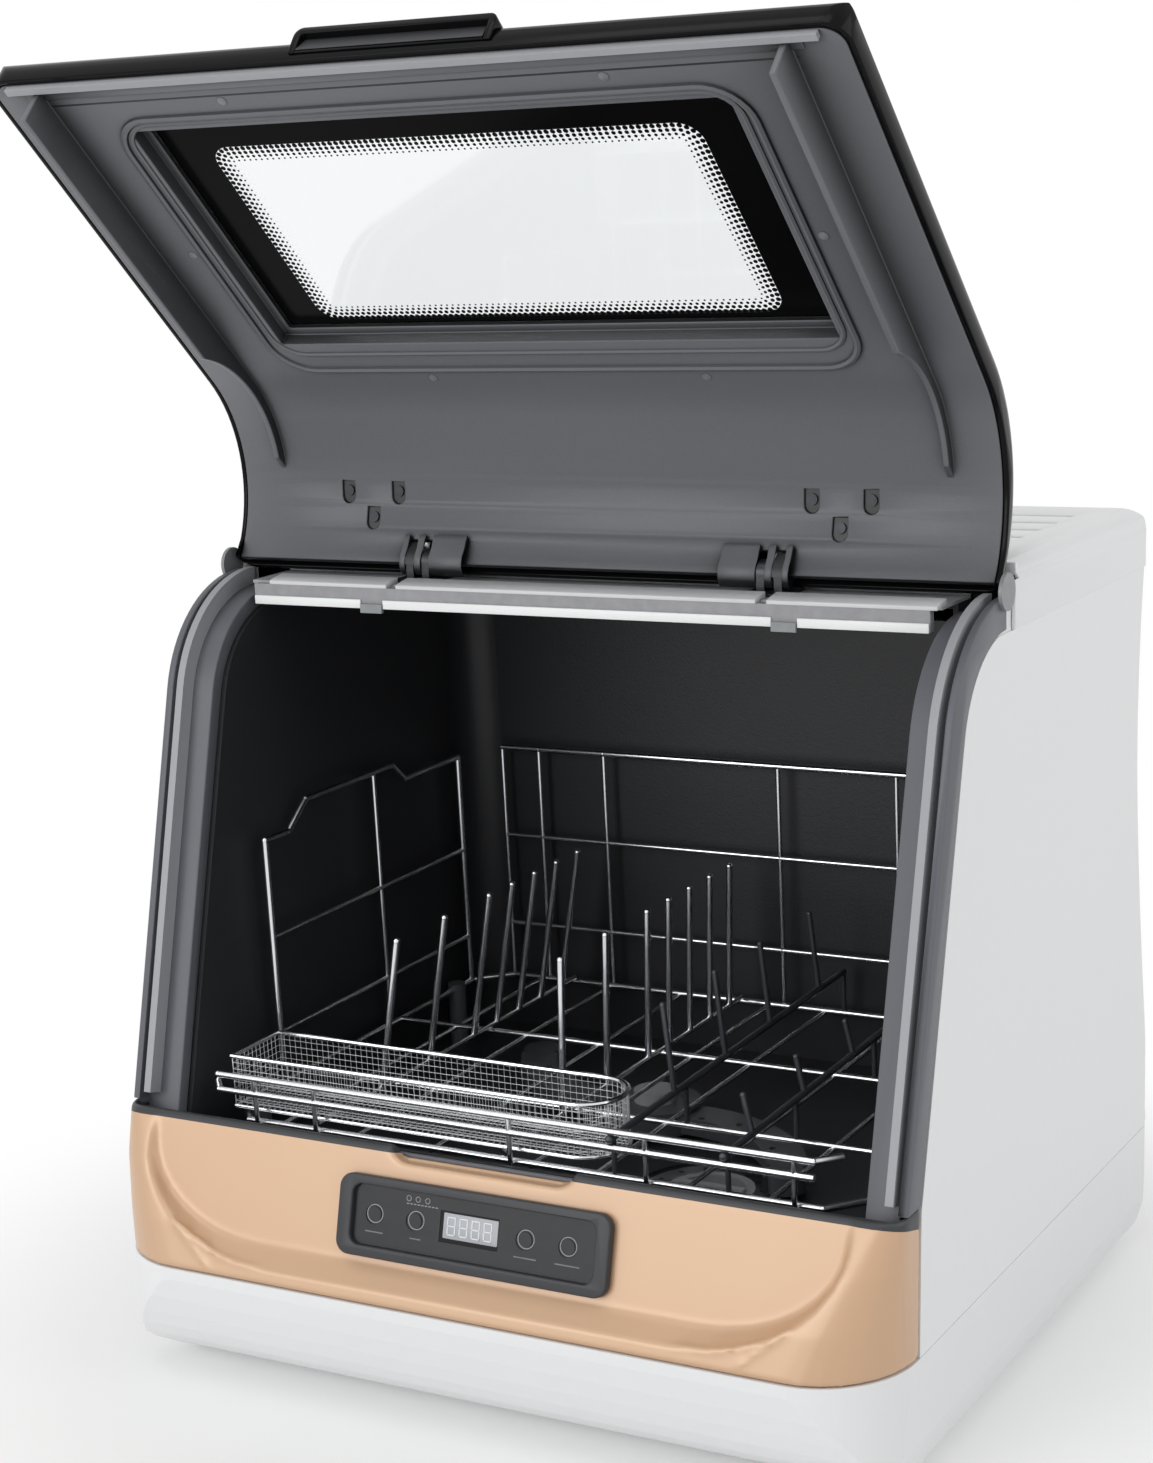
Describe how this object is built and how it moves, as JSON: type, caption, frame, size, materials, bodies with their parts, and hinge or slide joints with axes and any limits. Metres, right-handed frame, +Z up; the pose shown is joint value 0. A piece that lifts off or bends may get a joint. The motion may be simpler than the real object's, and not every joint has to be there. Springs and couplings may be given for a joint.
{
  "type": "countertop_dishwasher",
  "caption": "White countertop dishwasher with a rose-gold front, lifting window lid, wire racks, cutlery basket and spray arm",
  "frame": {"origin": "on the floor under the middle of the body, half way between the foot of the front panel and the back of the base", "axes": "+Z up, -Y front (the control panel), +X the user's right"},
  "size_m": [0.4236, 0.38, 0.6406],
  "materials": {
    "white_plastic": "satin white moulded plastic",
    "rose_panel": "rose-gold satin lacquer",
    "dark_frame": "dark grey moulded plastic",
    "black_gloss": "glossy black",
    "black_plastic": "matt black plastic",
    "grey_rubber": "light grey rubber",
    "foot_rubber": "dark rubber",
    "bright_strip": "white seal strip",
    "grey_rail": "light grey plastic",
    "steel": "stainless steel",
    "rack_chrome": "bright wire",
    "dark_wire": "dark coated wire",
    "pump_grey": "grey technical plastic",
    "hose": "grey hose",
    "board_green": "circuit board",
    "window_glass": "tinted window glass",
    "print_black": "printed black border"
  },
  "bodies": {
    "machine": {"base_tray": "white_plastic", "feet": "foot_rubber", "side_panel_left": "white_plastic", "side_panel_right": "white_plastic", "rear_panel": "white_plastic", "top_cover": "white_plastic", "front_fascia": "rose_panel", "control_bezel": "dark_frame", "control_overlay": "black_gloss", "display_window": "black_gloss", "control_board": "board_green", "touch_springs": "steel", "front_frame": "dark_frame", "frame_gasket": "grey_rubber", "tub": "black_plastic", "top_rail": "grey_rail", "seal_strip": "bright_strip", "strip_clips": "black_plastic", "hinge_bracket_left": "steel", "hinge_bracket_right": "steel", "hinge_pins": "steel", "hinge_end_caps": "black_plastic", "sump": "black_plastic", "filter_plate": "steel", "heater": "steel", "wash_pump": "pump_grey", "drain_pump": "pump_grey", "feed_pipe": "pump_grey", "drain_hose": "hose", "inlet_hose": "hose", "inlet_valve": "bright_strip", "drain_spigot": "black_plastic", "power_inlet": "black_plastic", "power_board": "board_green", "fan_housing": "black_plastic", "fan_duct": "black_plastic", "arm_spindle": "grey_rail", "case_screws": "steel"},
    "lid": {"lid_shell": "black_gloss", "lid_liner": "dark_frame", "lid_glass": "window_glass", "glass_print": "print_black", "lid_handle": "black_gloss", "lid_gasket": "grey_rubber", "hinge_arm_left": "steel", "hinge_arm_right": "steel", "hinge_screws": "steel"},
    "rack": {"rack_frame": "rack_chrome", "rack_fences": "rack_chrome", "rack_tines": "rack_chrome", "cup_rails": "dark_wire", "rack_feet": "pump_grey"},
    "basket": {"cutlery_basket": "rack_chrome"},
    "spray": {"spray_arm": "pump_grey", "arm_cap": "grey_rail"},
    "filter": {"filter_cup": "grey_rail"},
    "wash_rotor": {"wash_impeller": "grey_rail"},
    "drain_rotor": {"drain_impeller": "grey_rail"},
    "fan": {"fan_rotor": "grey_rail"}
  },
  "joints": [
    {"name": "lid_hinge", "type": "hinge", "parent": "machine", "child": "lid", "pos_m": [0, -0.0245, 0.394], "axis": [1, 0, 0], "range_deg": [0, 118.7]},
    {"name": "rack_lift", "type": "slide", "parent": "machine", "child": "rack", "axis": [0, 0, 1], "range_m": [0, 0.04]},
    {"name": "basket_lift", "type": "slide", "parent": "rack", "child": "basket", "axis": [0, 0, 1], "range_m": [0, 0.03]},
    {"name": "spray_arm_spin", "type": "hinge", "parent": "machine", "child": "spray", "pos_m": [0, 0.0145, 0.098], "axis": [0, 0, 1], "continuous": true},
    {"name": "filter_twist", "type": "hinge", "parent": "machine", "child": "filter", "pos_m": [0.062, -0.0475, 0.092], "axis": [0, 0, 1], "range_deg": [0, 90]},
    {"name": "wash_pump_spin", "type": "hinge", "parent": "machine", "child": "wash_rotor", "pos_m": [0.122, -0.0475, 0.044], "axis": [1, 0, 0], "continuous": true},
    {"name": "drain_pump_spin", "type": "hinge", "parent": "machine", "child": "drain_rotor", "pos_m": [0, -0.0475, 0.038], "axis": [1, 0, 0], "continuous": true},
    {"name": "fan_spin", "type": "hinge", "parent": "machine", "child": "fan", "pos_m": [0.135, 0.1125, 0.059], "axis": [0, 0, 1], "continuous": true}
  ]
}
